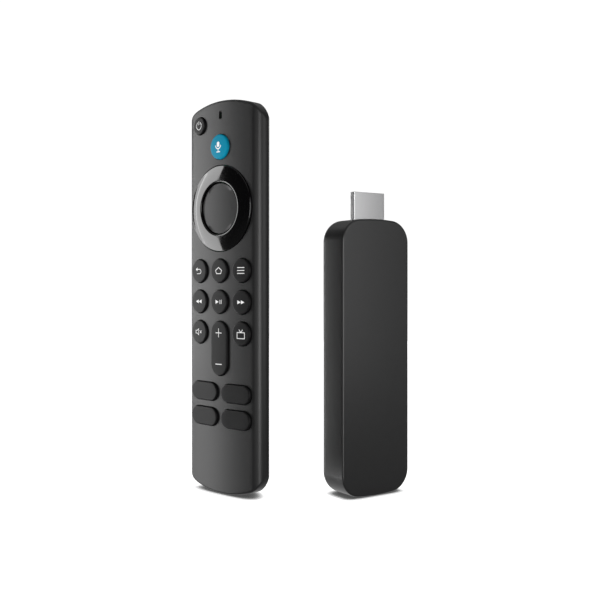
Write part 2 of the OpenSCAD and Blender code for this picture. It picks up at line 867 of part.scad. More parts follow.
module shield_can() {
    color("#a9abad") at_stick()
        difference() {
            block([-can_w / 2, stick_board_y - can_h, can_z], [can_w / 2, stick_board_y, can_z + can_len]);
            block([-can_w / 2 + sheet_t, stick_board_y - can_h + sheet_t, can_z + sheet_t],
                  [can_w / 2 - sheet_t, stick_board_y + 1, can_z + can_len - sheet_t]);
        }
}

module processor() {
    chip = 11;
    chip_t = 1.1;
    z = can_z + can_len - chip / 2 - chip_margin;
    color("#141516") at_stick()
        block([-chip / 2, stick_board_y - chip_t, z - chip / 2], [chip / 2, stick_board_y, z + chip / 2]);
}

module memory_chip() {
    chip_w = 9;
    chip_len = 12;
    chip_t = 0.9;
    z = can_z + chip_len / 2 + chip_margin;
    color("#141516") at_stick()
        block([-chip_w / 2, stick_board_y - chip_t, z - chip_len / 2],
              [chip_w / 2, stick_board_y, z + chip_len / 2]);
}

module thermal_pad() {
    y = stick_board_y - can_h;
    color("#8f9bb0") at_stick()
        block([chip_margin - can_w / 2, y - pad_t, can_z + chip_margin],
              [can_w / 2 - chip_margin, y, can_z + can_len - chip_margin]);
}

module heat_spreader() {
    low_overhang = 14;
    high_overhang = 6;
    y = stick_board_y - can_h - pad_t;
    color("#c3c5c7") at_stick()
        block([-can_w / 2, y - spreader_t, can_z - low_overhang],
              [can_w / 2, y, can_z + can_len + high_overhang]);
}

// Outline of the micro-USB socket, drawn in on the side away from the board
module usb_outline(inset) {
    polygon([[-usb_w / 2 + inset, inset], [usb_w / 2 - inset, inset],
             [usb_w / 2 - inset, usb_t - usb_taper], [usb_w / 2 - usb_taper - inset / 2, usb_t - inset],
             [-usb_w / 2 + usb_taper + inset / 2, usb_t - inset], [-usb_w / 2 + inset, usb_t - usb_taper]]);
}

module usb_socket_shell() {
    color("#bfc1c3") at_stick()
        translate([0, usb_y, usb_low])
            difference() {
                linear_extrude(usb_len) usb_outline(0);
                translate([0, 0, -1]) linear_extrude(usb_len - sheet_t + 1) usb_outline(sheet_t);
            }
}

module usb_tongue() {
    tongue_w = usb_w - 3.6;
    tongue_t = 0.7;
    y = usb_y + usb_t - sheet_t - 1.1;
    color("#121213") at_stick()
        block([-tongue_w / 2, y, usb_low + 0.6], [tongue_w / 2, y + tongue_t, usb_low + usb_len - sheet_t]);
}

// Two bent strips beside the board's lower end
module wifi_antennas() {
    strip_z = 20;
    strip_len = 14;
    strip_h = 3;
    strip_t = 0.4;
    strip_inset = 1;
    arm_len = 2.5;
    arm_h = 5;
    color("#c9a94e") at_stick()
        for (s = [-1, 1])
            mirror([s < 0 ? 1 : 0, 0, 0])
                translate([stick_board_w / 2 - strip_inset, stick_board_y, strip_z]) {
                    block([0, -strip_h, 0], [strip_t, 0, strip_len]);
                    block([-arm_len, -strip_h, strip_len - arm_h], [strip_t, strip_t - strip_h, strip_len]);
                }
}

stick_front_shell();
stick_rear_cover();
hdmi_plug_shell();
hdmi_insulator();
hdmi_contacts();
player_board();
processor();
memory_chip();
shield_can();
thermal_pad();
heat_spreader();
usb_socket_shell();
usb_tongue();
wifi_antennas();
remote_front_case();
remote_rear_case();
battery_cover();
upper_cell();
lower_cell();
positive_contact();
spring_contact();
remote_board();
switch_domes();
microphone();
ir_emitter();
radio_chip();
nav_ring();
nav_carrier();
select_key();
power_key();
voice_key();
back_key();
home_key();
menu_key();
rewind_key();
play_key();
forward_key();
mute_key();
guide_key();
volume_rocker();
app_key_1();
app_key_2();
app_key_3();
app_key_4();
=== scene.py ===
"""Looks of a streaming media stick and its voice remote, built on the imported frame.

Each item is drawn in its own millimetres: x across its face, y from the front into the depth, z up.
"""
import json
from math import asin, cos, hypot, pi, radians, sin, sqrt

import bmesh
import bpy
from mathutils import Matrix, Vector
from mathutils.geometry import delaunay_2d_cdt


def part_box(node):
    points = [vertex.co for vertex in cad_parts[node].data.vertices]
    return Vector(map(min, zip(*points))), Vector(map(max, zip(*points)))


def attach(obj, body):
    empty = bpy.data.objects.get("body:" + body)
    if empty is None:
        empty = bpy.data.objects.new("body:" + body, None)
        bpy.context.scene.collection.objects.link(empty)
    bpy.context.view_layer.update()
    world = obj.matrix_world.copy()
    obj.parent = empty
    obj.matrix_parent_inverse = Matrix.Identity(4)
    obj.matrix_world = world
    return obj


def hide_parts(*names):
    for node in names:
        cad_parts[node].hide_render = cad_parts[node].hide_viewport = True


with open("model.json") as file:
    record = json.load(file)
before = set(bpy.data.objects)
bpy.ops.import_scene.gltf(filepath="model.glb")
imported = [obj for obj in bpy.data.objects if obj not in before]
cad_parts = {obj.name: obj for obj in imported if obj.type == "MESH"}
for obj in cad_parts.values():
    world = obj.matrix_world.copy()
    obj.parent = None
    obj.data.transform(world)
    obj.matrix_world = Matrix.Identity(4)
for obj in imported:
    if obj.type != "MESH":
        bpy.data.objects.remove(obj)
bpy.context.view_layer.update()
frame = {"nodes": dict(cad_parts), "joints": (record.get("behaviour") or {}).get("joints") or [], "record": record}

# Metres in a millimetre
MM = 0.001

# Sizes of the remote in millimetres
REMOTE_W = 38
REMOTE_LEN = 142
REMOTE_END_R = 48
REMOTE_CORNER_R = 7.5
CROWN_R = 170
SIDE_EDGE_R = 3.6
END_EDGE_R = 1.0
CASE_WALL = 0.9
SPLIT_DEPTH = 5.03
RIM_CHAMFER = 0.07
NAV_PIVOT_DEPTH = 1.0

KEY_RADIUS = 4.27
POWER_RADIUS = 3.2
VOICE_RADIUS = 4.5
KEY_RISE = 0.8
KEY_SHOULDER = 0.4
KEY_DOME = 0.05
KEY_SKIRT = 1.4
VOICE_DOME = 0.3
KEY_GAP = 0.18
APP_LEN = 14.35
APP_H = 6.6
ROCKER_LEN = 19.7
MIC_SLOT_LEN = 2.9
MIC_SLOT_W = 1.5
MIC_DROP = 5.3
INK = 0.03
STROKE = 0.24

RING_R = 15.5
RING_HOLE_R = 9.5
RING_RISE = 0.8
RING_BEVEL = 0.3
RING_RIM_DEPTH = 0.15
RING_BULGE = 0.15
RING_UNDER = 0.85
RING_SKIRT_END = 2.0
RING_SKIRT_T = 0.5
RING_GAP = 0.2
SELECT_R = 9.2
SELECT_RISE = 0.3

CELL_LEN = 44.5
CELL_FOOT = 18

# Sizes of the stick in millimetres
STICK_W = 30
STICK_LEN = 99
STICK_T = 14
STICK_END_R = 85
STICK_CORNER_R = 8
STICK_FRONT_EDGE_R = 0.7
STICK_BACK_EDGE_R = 3.5
STICK_WALL = 1.5
STICK_SEAM = 11.5
STICK_SEAM_GAP = 0.08
STICK_BACK_START = STICK_T - STICK_BACK_EDGE_R

PLUG_W = 13.9
PLUG_T = 4.45
PLUG_SIDE = 2.2
PLUG_TAPER = 1.7
PLUG_DEPTH = 4
PLUG_IN = 14
PLUG_OUT = 9.8
PLUG_EDGE_R = 0.3
PLUG_SHEET = 0.35
PLUG_INNER_R = 0.1
PLUG_HOLE_GAP = 0.15
PLUG_HOLE_EDGE_R = 0.4
USB_W = 8.5
USB_FRONT = 6.4
USB_BACK = 10.2


# Item frames

def item_matrix(point, inward, depth):
    """Matrix from an item's millimetres to the shared frame, from a point at a known depth."""
    inward = Vector(inward)
    up = Vector((0, 0, 1))
    across = inward.cross(up)
    origin = Vector((point[0], point[1], 0)) - inward * depth * MM
    columns = [axis * MM for axis in (across, inward, up)]
    rows = [[column[row] for column in columns] + [origin[row]] for row in range(3)]
    return Matrix(rows + [[0, 0, 0, 1]])


joints = {joint["name"]: joint for joint in frame["joints"]}
mounts = {mount["name"]: mount for mount in frame["record"]["mounts"]}
REMOTE = item_matrix(joints["nav_up_tilt"]["pos_m"], joints["home_key_press"]["axis"], NAV_PIVOT_DEPTH)
STICK = item_matrix(mounts["stick_back"]["pos_m"], mounts["stick_back"]["axis"], STICK_T)


def crown(x):
    """Depth of the remote's crowned face at a distance from its middle line."""
    return CROWN_R - sqrt(CROWN_R * CROWN_R - x * x)


def face_matrix(x, z):
    """Matrix at a spot of the crowned face: across, up and out of the face."""
    turn = asin(x / CROWN_R)
    return Matrix((
        (cos(turn), 0, sin(turn), CROWN_R * sin(turn)),
        (sin(turn), 0, -cos(turn), CROWN_R - CROWN_R * cos(turn)),
        (0, 1, 0, z),
        (0, 0, 0, 1)))


def key_place(node):
    """Where a key's middle lies on the remote's face: across and up."""
    low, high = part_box(node)
    middle = REMOTE.inverted() @ ((low + high) / 2)
    return middle.x, middle.z


# Outlines

class Outline:
    """A slab seen from its face: straight sides, arched ends and round corners."""

    def __init__(self, width, length, end_r, corner_r):
        self.half, self.length = width / 2, length
        self.end_r, self.corner_r = end_r, corner_r
        self.corner_x = self.half - corner_r
        self.lean = asin(self.corner_x / (end_r - corner_r))
        self.corner_z = end_r - (end_r - corner_r) * cos(self.lean)

    def share(self, angle):
        """Share of the side at an angle of a corner: 0 where the end starts, 1 where the side starts."""
        along = (angle - self.lean) / (pi / 2 - self.lean)
        return along * along * (3 - 2 * along)

    def walk(self, side_steps, end_steps, corner_steps):
        """Points round the outline as (x, z, normal x, normal z, share of the side)."""
        quarter = []
        for i in range(end_steps):
            angle = self.lean * i / end_steps
            x, z = self.end_r * sin(angle), self.end_r * (1 - cos(angle))
            quarter.append((x, z, sin(angle), -cos(angle), 0.0))
        for i in range(corner_steps):
            angle = self.lean + (pi / 2 - self.lean) * i / corner_steps
            x, z = self.corner_x + self.corner_r * sin(angle), self.corner_z - self.corner_r * cos(angle)
            quarter.append((x, z, sin(angle), -cos(angle), self.share(angle)))
        for i in range(side_steps):
            z = self.corner_z + (self.length / 2 - self.corner_z) * i / side_steps
            quarter.append((self.half, z, 1.0, 0.0, 1.0))
        middle = (self.half, self.length / 2, 1.0, 0.0, 1.0)
        upper = [(x, self.length - z, nx, -nz, share) for x, z, nx, nz, share in quarter[::-1]]
        right = quarter + [middle] + upper
        left = [(-x, z, -nx, nz, share) for x, z, nx, nz, share in right[-2:0:-1]]
        return right + left

    def inside(self, x, z):
        """Distance from a point inside to the outline, and the side's share there."""
        x = abs(x)
        z = min(z, self.length - z)
        dx, dz = x - self.corner_x, z - self.corner_z
        if dz <= 0 and dx * cos(self.lean) + dz * sin(self.lean) >= 0:
            reach = hypot(dx, dz)
            angle = asin(min(1.0, dx / reach)) if reach else pi / 2
            return self.corner_r - reach, self.share(angle)
        side = self.half - x
        end = self.end_r - hypot(x, self.end_r - z)
        return (side, 1.0) if side < end else (end, 0.0)


def circle(radius, steps=56):
    """Outline of a round cap, drawn in by an inset."""
    def ring(inset):
        angles = [2 * pi * i / steps for i in range(steps)]
        return [((radius - inset) * cos(angle), (radius - inset) * sin(angle)) for angle in angles]
    return ring


def pill(length, height, upright=False, steps=20, straight_steps=6):
    """Outline of a pill-shaped cap, drawn in by an inset."""
    half = (length - height) / 2

    def ring(inset):
        end_r = height / 2 - inset
        points = []
        for sign, start in ((1, -pi / 2), (-1, pi / 2)):
            for i in range(steps + 1):
                angle = start + pi * i / steps
                points.append((sign * half + end_r * cos(angle), end_r * sin(angle)))
            for i in range(1, straight_steps):
                points.append((sign * half * (1 - 2 * i / straight_steps), sign * end_r))
        return [(-v, u) for u, v in points] if upright else points
    return ring


# Meshes

def bridge(first, second, count):
    """Quads between two rings of vertex numbers that start at first and second."""
    return [(first + i, first + (i + 1) % count, second + (i + 1) % count, second + i) for i in range(count)]


def stack(rings, closed=False):
    """Vertices and faces of rings joined one to the next, with caps or closed to a tube."""
    count = len(rings[0])
    verts = [point for ring in rings for point in ring]
    faces = []
    for k in range(len(rings) - 1):
        faces += bridge(k * count, (k + 1) * count, count)
    last = (len(rings) - 1) * count
    if closed:
        faces += bridge(last, 0, count)
    else:
        faces.append(tuple(range(count))[::-1])
        faces.append(tuple(range(last, last + count)))
    return verts, faces


def weigh_normals(piece):
    """Keeps large flats flat in the shading, beside the rounded edges."""
    weighted = piece.modifiers.new("weighted", "WEIGHTED_NORMAL")
    weighted.weight = 80
    weighted.keep_sharp = True


def add_piece(name, verts, faces, matrix, finish, body, slot, replaced=(), sharp=35, flat_sides=False):
    """A finished piece that rides on a body and may stand for CAD nodes."""
    mesh = bpy.data.meshes.new(name)
    mesh.from_pydata([matrix @ Vector(v) for v in verts], [], faces)
    turned = bmesh.new()
    turned.from_mesh(mesh)
    bmesh.ops.recalc_face_normals(turned, faces=turned.faces)
    turned.to_mesh(mesh)
    turned.free()
    mesh.shade_smooth()
    mesh.set_sharp_from_angle(angle=radians(sharp))
    mesh.materials.append(finish)
    piece = bpy.data.objects.new(name, mesh)
    bpy.context.scene.collection.objects.link(piece)
    if flat_sides:
        weigh_normals(piece)
    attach(piece, body)
    if replaced:
        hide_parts(*replaced)
    return piece


def cut(piece, verts, faces, matrix):
    """Cuts a closed shape out of a piece."""
    mesh = bpy.data.meshes.new("cutter")
    mesh.from_pydata([matrix @ Vector(v) for v in verts], [], faces)
    cutter = bpy.data.objects.new("cutter", mesh)
    bpy.context.scene.collection.objects.link(cutter)
    boolean = piece.modifiers.new("cut", "BOOLEAN")
    boolean.operation = "DIFFERENCE"
    boolean.solver = "EXACT"
    boolean.object = cutter
    depsgraph = bpy.context.evaluated_depsgraph_get()
    result = bpy.data.meshes.new_from_object(piece.evaluated_get(depsgraph))
    piece.modifiers.remove(boolean)
    piece.data = result
    bpy.data.objects.remove(cutter)


def polish(node, finish):
    """Gives a CAD node its finish, with smooth round stretches and crisp edges."""
    piece = frame["nodes"][node]
    piece.data.materials.clear()
    piece.data.materials.append(finish)
    piece.data.polygons.foreach_set("use_smooth", [True] * len(piece.data.polygons))
    weld = piece.modifiers.new("weld", "WELD")
    weld.merge_threshold = 0.001 * MM
    split = piece.modifiers.new("split", "EDGE_SPLIT")
    split.split_angle = radians(32)
    weigh_normals(piece)


# Materials

# Most values of the noise lie between these
NOISE_RANGE = (0.3, 0.7)


def shader(name, colour, roughness, metallic=0.0):
    """A new material's principled shader, with the values that hold all over."""
    material = bpy.data.materials.new(name)
    material.use_nodes = True
    principled = material.node_tree.nodes["Principled BSDF"]
    principled.inputs["Base Color"].default_value = (*colour, 1)
    principled.inputs["Roughness"].default_value = roughness
    principled.inputs["Metallic"].default_value = metallic
    return material, principled


def add_node(owner, kind, **values):
    """A node of a material or the world, with its settings."""
    node = owner.node_tree.nodes.new(kind)
    for key, value in values.items():
        setattr(node, key, value)
    return node


def map_range(owner, value, old, new):
    """A node that maps a value from one range to another and holds it at the ends."""
    node = add_node(owner, "ShaderNodeMapRange")
    for end, old_value, new_value in zip(("Min", "Max"), old, new):
        node.inputs["From " + end].default_value = old_value
        node.inputs["To " + end].default_value = new_value
    owner.node_tree.links.new(value, node.inputs["Value"])
    return node


def noise(material, size_mm, detail=2.0, stretch=(1, 1, 1)):
    """Noise over the part, with features of a size in millimetres, as a factor."""
    links = material.node_tree.links
    place = add_node(material, "ShaderNodeTexCoord")
    mapping = add_node(material, "ShaderNodeMapping")
    mapping.inputs["Scale"].default_value = [share / (size_mm * MM) for share in stretch]
    links.new(place.outputs["Object"], mapping.inputs["Vector"])
    texture = add_node(material, "ShaderNodeTexNoise")
    texture.inputs["Scale"].default_value = 1.0
    texture.inputs["Detail"].default_value = detail
    links.new(mapping.outputs["Vector"], texture.inputs["Vector"])
    return texture.outputs["Fac"]


def vary_roughness(material, principled, factor, low, high):
    """Lets the roughness follow noise between two values."""
    roughness = map_range(material, factor, NOISE_RANGE, (low, high)).outputs["Result"]
    material.node_tree.links.new(roughness, principled.inputs["Roughness"])


def blend_colours(material, factor, first, second):
    """A colour that goes from first to second with a factor."""
    node = add_node(material, "ShaderNodeMix", data_type="RGBA")
    node.inputs["A"].default_value = (*first, 1)
    node.inputs["B"].default_value = (*second, 1)
    material.node_tree.links.new(factor, node.inputs["Factor"])
    return node.outputs["Result"]


def vary_colour(material, principled, factor, first, second):
    """Lets the colour follow a factor from first to second."""
    colour = blend_colours(material, factor, first, second)
    material.node_tree.links.new(colour, principled.inputs["Base Color"])


def shaded(colour, share):
    """A colour made darker or lighter by a share."""
    return tuple(min(1.0, channel * share) for channel in colour)


def moulded(name, colour, roughness, grain_mm=0.16, grain=0.12, mottle=0.06, specular=0.5):
    """Moulded plastic or rubber: fine spark-eroded grain, slightly uneven tone and gloss."""
    mottle_mm, grain_depth, gloss_swing = 5.0, 0.02, 0.05
    material, principled = shader(name, colour, roughness)
    links = material.node_tree.links
    cloud = noise(material, mottle_mm)
    vary_colour(material, principled, cloud, shaded(colour, 1 - mottle), shaded(colour, 1 + mottle))
    fine = noise(material, grain_mm, detail=3.0)
    vary_roughness(material, principled, fine, roughness - gloss_swing, roughness + gloss_swing)
    bump = add_node(material, "ShaderNodeBump")
    bump.inputs["Strength"].default_value = grain
    bump.inputs["Distance"].default_value = grain_depth * MM
    links.new(fine, bump.inputs["Height"])
    links.new(bump.outputs["Normal"], principled.inputs["Normal"])
    principled.inputs["Specular IOR Level"].default_value = specular
    return material


def brushed(name, colour, roughness):
    """Metal with fine drawn lines along its height."""
    line_mm, stretch, tone_swing, gloss_swing = 0.08, (1, 1, 0.04), 0.02, 0.01
    material, principled = shader(name, colour, roughness, metallic=1.0)
    lines = noise(material, line_mm, detail=4.0, stretch=stretch)
    vary_colour(material, principled, lines, shaded(colour, 1 - tone_swing), shaded(colour, 1 + tone_swing))
    vary_roughness(material, principled, lines, roughness - gloss_swing, roughness + gloss_swing)
    return material


def piano_gloss(name, colour, specular):
    """Polished black plastic with a trace of haze."""
    haze_mm, clear_roughness, hazy_roughness, haze_tone = 7.0, 0.04, 0.09, 1.4
    material, principled = shader(name, colour, roughness=0.05)
    haze = noise(material, haze_mm, detail=3.0)
    vary_roughness(material, principled, haze, clear_roughness, hazy_roughness)
    vary_colour(material, principled, haze, colour, shaded(colour, haze_tone))
    principled.inputs["Specular IOR Level"].default_value = specular
    return material


def circuit_board(name, mask, copper):
    """Solder mask over copper tracks."""
    pitch_mm, track_share = 2.2, 0.09
    material, principled = shader(name, mask, roughness=0.35)
    links = material.node_tree.links
    place = add_node(material, "ShaderNodeTexCoord")
    tracks = add_node(material, "ShaderNodeTexVoronoi", feature="DISTANCE_TO_EDGE", distance="MANHATTAN")
    tracks.inputs["Scale"].default_value = 1 / (pitch_mm * MM)
    links.new(place.outputs["Object"], tracks.inputs["Vector"])
    edge = add_node(material, "ShaderNodeMath", operation="LESS_THAN")
    edge.inputs[1].default_value = track_share
    links.new(tracks.outputs["Distance"], edge.inputs[0])
    vary_colour(material, principled, edge.outputs["Value"], mask, copper)
    return material


def cell_jacket(name, sleeve, cap):
    """A printed cell sleeve with a coloured band at its upper part."""
    band_start = 0.72
    material, principled = shader(name, sleeve, roughness=0.3)
    links = material.node_tree.links
    place = add_node(material, "ShaderNodeTexCoord")
    split = add_node(material, "ShaderNodeSeparateXYZ")
    links.new(place.outputs["Object"], split.inputs["Vector"])
    cells_up = add_node(material, "ShaderNodeMath", operation="MULTIPLY_ADD")
    cells_up.inputs[1].default_value = 1 / (CELL_LEN * MM)
    cells_up.inputs[2].default_value = -CELL_FOOT / CELL_LEN
    links.new(split.outputs["Z"], cells_up.inputs[0])
    share_up = add_node(material, "ShaderNodeMath", operation="FRACT")
    links.new(cells_up.outputs["Value"], share_up.inputs[0])
    band = add_node(material, "ShaderNodeMath", operation="GREATER_THAN")
    band.inputs[1].default_value = band_start
    links.new(share_up.outputs["Value"], band.inputs[0])
    vary_colour(material, principled, band.outputs["Value"], sleeve, cap)
    return material


CASE = moulded("remote_case", (0.010, 0.010, 0.0102), 0.345, specular=0.4)
KEY = moulded("key_rubber", (0.004, 0.004, 0.0042), 0.40, grain_mm=0.12, specular=0.16)
SELECT = moulded("select_plastic", (0.010, 0.010, 0.0102), 0.33, specular=0.29)
VOICE = moulded("voice_blue", (0.001, 0.185, 0.29), 0.44, grain_mm=0.12, mottle=0.04, specular=0.07)
GLOSS = piano_gloss("ring_gloss", (0.0012, 0.0012, 0.0013), specular=0.68)
STICK_CASE = moulded("stick_case", (0.010, 0.010, 0.0102), 0.32, grain=0.08, specular=0.6)
PLUG = brushed("plug_metal", (0.62, 0.62, 0.625), 0.26)
INK_WHITE = moulded("white_ink", (0.72, 0.72, 0.72), 0.5, grain=0.05)


# Remote front case: a crowned shell with openings

REMOTE_OUTLINE = Outline(REMOTE_W, REMOTE_LEN, REMOTE_END_R, REMOTE_CORNER_R)
CASE_WALK = REMOTE_OUTLINE.walk(side_steps=44, end_steps=14, corner_steps=18)
ROUND_KEYS = {
    "power_key": POWER_RADIUS, "voice_key": VOICE_RADIUS,
    "back_key": KEY_RADIUS, "home_key": KEY_RADIUS, "menu_key": KEY_RADIUS,
    "rewind_key": KEY_RADIUS, "play_key": KEY_RADIUS, "forward_key": KEY_RADIUS,
    "mute_key": KEY_RADIUS, "guide_key": KEY_RADIUS}
APP_KEYS = ["app_key_1", "app_key_2", "app_key_3", "app_key_4"]
RING_Z = key_place("nav_ring")[1]


def rounding(radius, distance):
    """Drop of a rounded edge at a distance from its outer side."""
    if distance >= radius:
        return 0.0
    return radius - sqrt(max(0.0, radius * radius - (radius - distance) ** 2))


def face_depth(x, z):
    """Depth of the outer skin: the long sides' rounding runs straight on, and the ends cut it off."""
    distance, share = REMOTE_OUTLINE.inside(x, z)
    side = rounding(SIDE_EDGE_R, REMOTE_W / 2 - abs(x))
    return crown(x) + side + rounding(END_EDGE_R * (1 - share), distance)


def edge_width(share):
    """Width of the face's rounded edge: wide along the sides, narrow at the ends."""
    return END_EDGE_R + (SIDE_EDGE_R - END_EDGE_R) * share


def edge_ring(degrees):
    """Points round the rounded edge: at 0 degrees on its outer side, at 90 where the face starts."""
    ring = []
    for x, z, nx, nz, share in CASE_WALK:
        inset = edge_width(share) * (1 - cos(radians(degrees)))
        px, pz = x - nx * inset, z - nz * inset
        ring.append((px, face_depth(px, pz), pz))
    return ring


def seam_ring(inset):
    """Points round the case's rim at the seam, drawn in by an inset."""
    return [(x - nx * inset, SPLIT_DEPTH, z - nz * inset) for x, z, nx, nz, _ in CASE_WALK]


def round_opening(place, radius, steps=56):
    """A round opening: place, outline drawn in by an inset, and a test with a margin."""
    return place, circle(radius, steps), lambda u, v, margin: hypot(u, v) < radius + margin


def pill_opening(place, length, height, upright=False, **steps):
    """A pill-shaped opening: place, outline drawn in by an inset, and a test with a margin."""
    half = (length - height) / 2

    def test(u, v, margin):
        along, off = (v, u) if upright else (u, v)
        return hypot(max(0.0, abs(along) - half), off) < height / 2 + margin
    return place, pill(length, height, upright, **steps), test


def case_openings():
    """The openings for the keys, the rocker, the microphone and the ring."""
    openings = [round_opening(key_place(node), radius + KEY_GAP) for node, radius in ROUND_KEYS.items()]
    for node in APP_KEYS:
        openings.append(pill_opening(key_place(node), APP_LEN + 2 * KEY_GAP, APP_H + 2 * KEY_GAP))
    openings.append(pill_opening(key_place("volume_rocker"), ROCKER_LEN + 2 * KEY_GAP,
                                 2 * KEY_RADIUS + 2 * KEY_GAP, upright=True))
    openings.append(pill_opening((0, REMOTE_LEN - MIC_DROP), MIC_SLOT_LEN, MIC_SLOT_W, upright=True,
                                 steps=12, straight_steps=3))
    openings.append(round_opening((0, RING_Z), RING_R + RING_GAP, steps=128))
    return openings


def clear(openings, x, z, margin):
    """Whether a spot lies outside all openings by a margin."""
    return not any(test(x - place[0], z - place[1], margin) for place, _, test in openings)


def face_net(openings, border_degrees):
    """Flat net of the face from its border to the openings: points, triangles, border and rims."""
    grid, grid_margin, ring_margin, tolerance = 1.3, 0.5, 0.4, 1e-6
    inner_degrees = (70, 77, 84, 90)
    flat = [(x, z) for x, _, z in edge_ring(border_degrees)]
    loops = [range(len(flat))]
    for (px, pz), ring, _ in openings:
        rim = [(px + u, pz + v) for u, v in ring(-RIM_CHAMFER)]
        loops.append(range(len(flat), len(flat) + len(rim)))
        flat += rim
    edges = [(loop[i], loop[(i + 1) % len(loop)]) for loop in loops for i in range(len(loop))]
    for degrees in inner_degrees:
        flat += [(x, z) for x, _, z in edge_ring(degrees) if clear(openings, x, z, ring_margin)]
    for i in range(int(REMOTE_W / grid)):
        for j in range(int(REMOTE_LEN / grid)):
            x = (i + 0.5 + 0.5 * (j % 2)) * grid - REMOTE_W / 2
            z = (j + 0.5) * grid
            distance, share = REMOTE_OUTLINE.inside(x, z)
            if distance > edge_width(share) + grid_margin and clear(openings, x, z, grid_margin):
                flat.append((x, z))
    net = delaunay_2d_cdt([Vector(point) for point in flat], edges, [], 0, tolerance)
    points, _, triangles, origins, _, _ = net
    number = {origin: i for i, found in enumerate(origins) for origin in found}
    border, *rims = [[number[i] for i in loop] for loop in loops]
    return points, [tuple(triangle) for triangle in triangles], border, rims


def front_case():
    """The shell: outer skin, opening walls, rim and inner skin as one closed mesh."""
    border_degrees, edge_steps, rim_share = 62, 7, 0.9
    openings = case_openings()
    points, triangles, border, rims = face_net(openings, border_degrees)

    # Outer skin, then the same triangles on the inner skin, without those that fill an opening
    outer = [(p.x, face_depth(p.x, p.y), p.y) for p in points]
    verts = outer + [(x, y + CASE_WALL, z) for x, y, z in outer]
    shift = len(outer)
    kept = []
    for triangle in triangles:
        x = sum(points[i].x for i in triangle) / 3
        z = sum(points[i].y for i in triangle) / 3
        if clear(openings, x, z, RIM_CHAMFER * rim_share):
            kept.append(triangle)
    faces = kept + [tuple(i + shift for i in triangle[::-1]) for triangle in kept]

    # Opening walls, with a small chamfer at the rim
    for ((px, pz), ring, _), rim in zip(openings, rims):
        lip = len(verts)
        count = len(rim)
        for (u, v), outside in zip(ring(0), rim):
            verts.append((px + u, outer[outside][1] + RIM_CHAMFER, pz + v))
        for k in range(count):
            a, b = rim[k], rim[(k + 1) % count]
            c, d = lip + (k + 1) % count, lip + k
            faces.append((a, b, c, d))
            faces.append((d, c, b + shift, a + shift))

    # Rounded edge and side down to the seam, outside and inside, and the rim between them
    def join(first, second):
        for i in range(len(first)):
            j = (i + 1) % len(first)
            faces.append((first[i], first[j], second[j], second[i]))

    def add_ring(previous, ring):
        added = list(range(len(verts), len(verts) + len(ring)))
        verts.extend(ring)
        join(previous, added)
        return added

    outside_rim = border
    for k in range(edge_steps - 1, -1, -1):
        outside_rim = add_ring(outside_rim, edge_ring(border_degrees * k / edge_steps))
    outside_rim = add_ring(outside_rim, seam_ring(0))
    inside_rim = add_ring([i + shift for i in border], seam_ring(CASE_WALL))
    join(outside_rim, inside_rim)
    add_piece("remote_front", verts, faces, REMOTE, CASE, "remote", "remote_case",
              ["remote_front_case"], sharp=30)


# Keys, the ring and the select key

def cap_top(radius, half=0.0, upright=False, dome=KEY_DOME):
    """Height of a cap's top over a spot on it; half is half of a pill's straight stretch."""
    flat = radius - KEY_SHOULDER

    def height(u, v):
        along, off = (v, u) if upright else (u, v)
        reach = hypot(max(0.0, abs(along) - half), off)
        return KEY_RISE + dome * (1 - min(1.0, reach / flat) ** 2)
    return height


def key_top(node):
    """Height of a key's crowned top over a spot on it."""
    if node == "volume_rocker":
        return cap_top(KEY_RADIUS, ROCKER_LEN / 2 - KEY_RADIUS, upright=True)
    if node in APP_KEYS:
        return cap_top(APP_H / 2, (APP_LEN - APP_H) / 2)
    return cap_top(ROUND_KEYS[node], dome=VOICE_DOME if node == "voice_key" else KEY_DOME)


def cap_mesh(ring, radius, top, rise=KEY_RISE):
    """A key cap: skirt, rounded shoulder and crowned top."""
    shoulder_steps, top_steps = 5, 8
    rings = [[(u, v, -KEY_SKIRT) for u, v in ring(0)]]
    for k in range(shoulder_steps):
        turn = pi / 2 * k / shoulder_steps
        height = rise - KEY_SHOULDER * (1 - sin(turn))
        rings.append([(u, v, height) for u, v in ring(KEY_SHOULDER * (1 - cos(turn)))])
    for k in range(top_steps):
        inset = KEY_SHOULDER + (radius - KEY_SHOULDER) * k / top_steps
        rings.append([(u, v, top(u, v)) for u, v in ring(inset)])
    return stack(rings)


def add_key(node, ring, radius, finish=KEY, slot="key_rubber"):
    """A key cap in its place on the face, on its own body."""
    verts, faces = cap_mesh(ring, radius, key_top(node))
    place = REMOTE @ face_matrix(*key_place(node))
    add_piece(node + "_cap", verts, faces, place, finish, node, slot, [node])


def keys():
    """The caps of the round keys, the app keys and the rocker."""
    for node, radius in ROUND_KEYS.items():
        finish, slot = (VOICE, "voice_blue") if node == "voice_key" else (KEY, "key_rubber")
        add_key(node, circle(radius), radius, finish, slot)
    for node in APP_KEYS:
        add_key(node, pill(APP_LEN, APP_H), APP_H / 2)
    add_key("volume_rocker", pill(ROCKER_LEN, 2 * KEY_RADIUS, upright=True), KEY_RADIUS)


def lathe(profile, steps=160):
    """Rings of a section of (radius, height) points turned about the axis out of the face."""
    turns = [2 * pi * i / steps for i in range(steps)]
    rings = []
    for radius, height in profile:
        rings.append([(radius * cos(turn), radius * sin(turn), height) for turn in turns])
    return rings


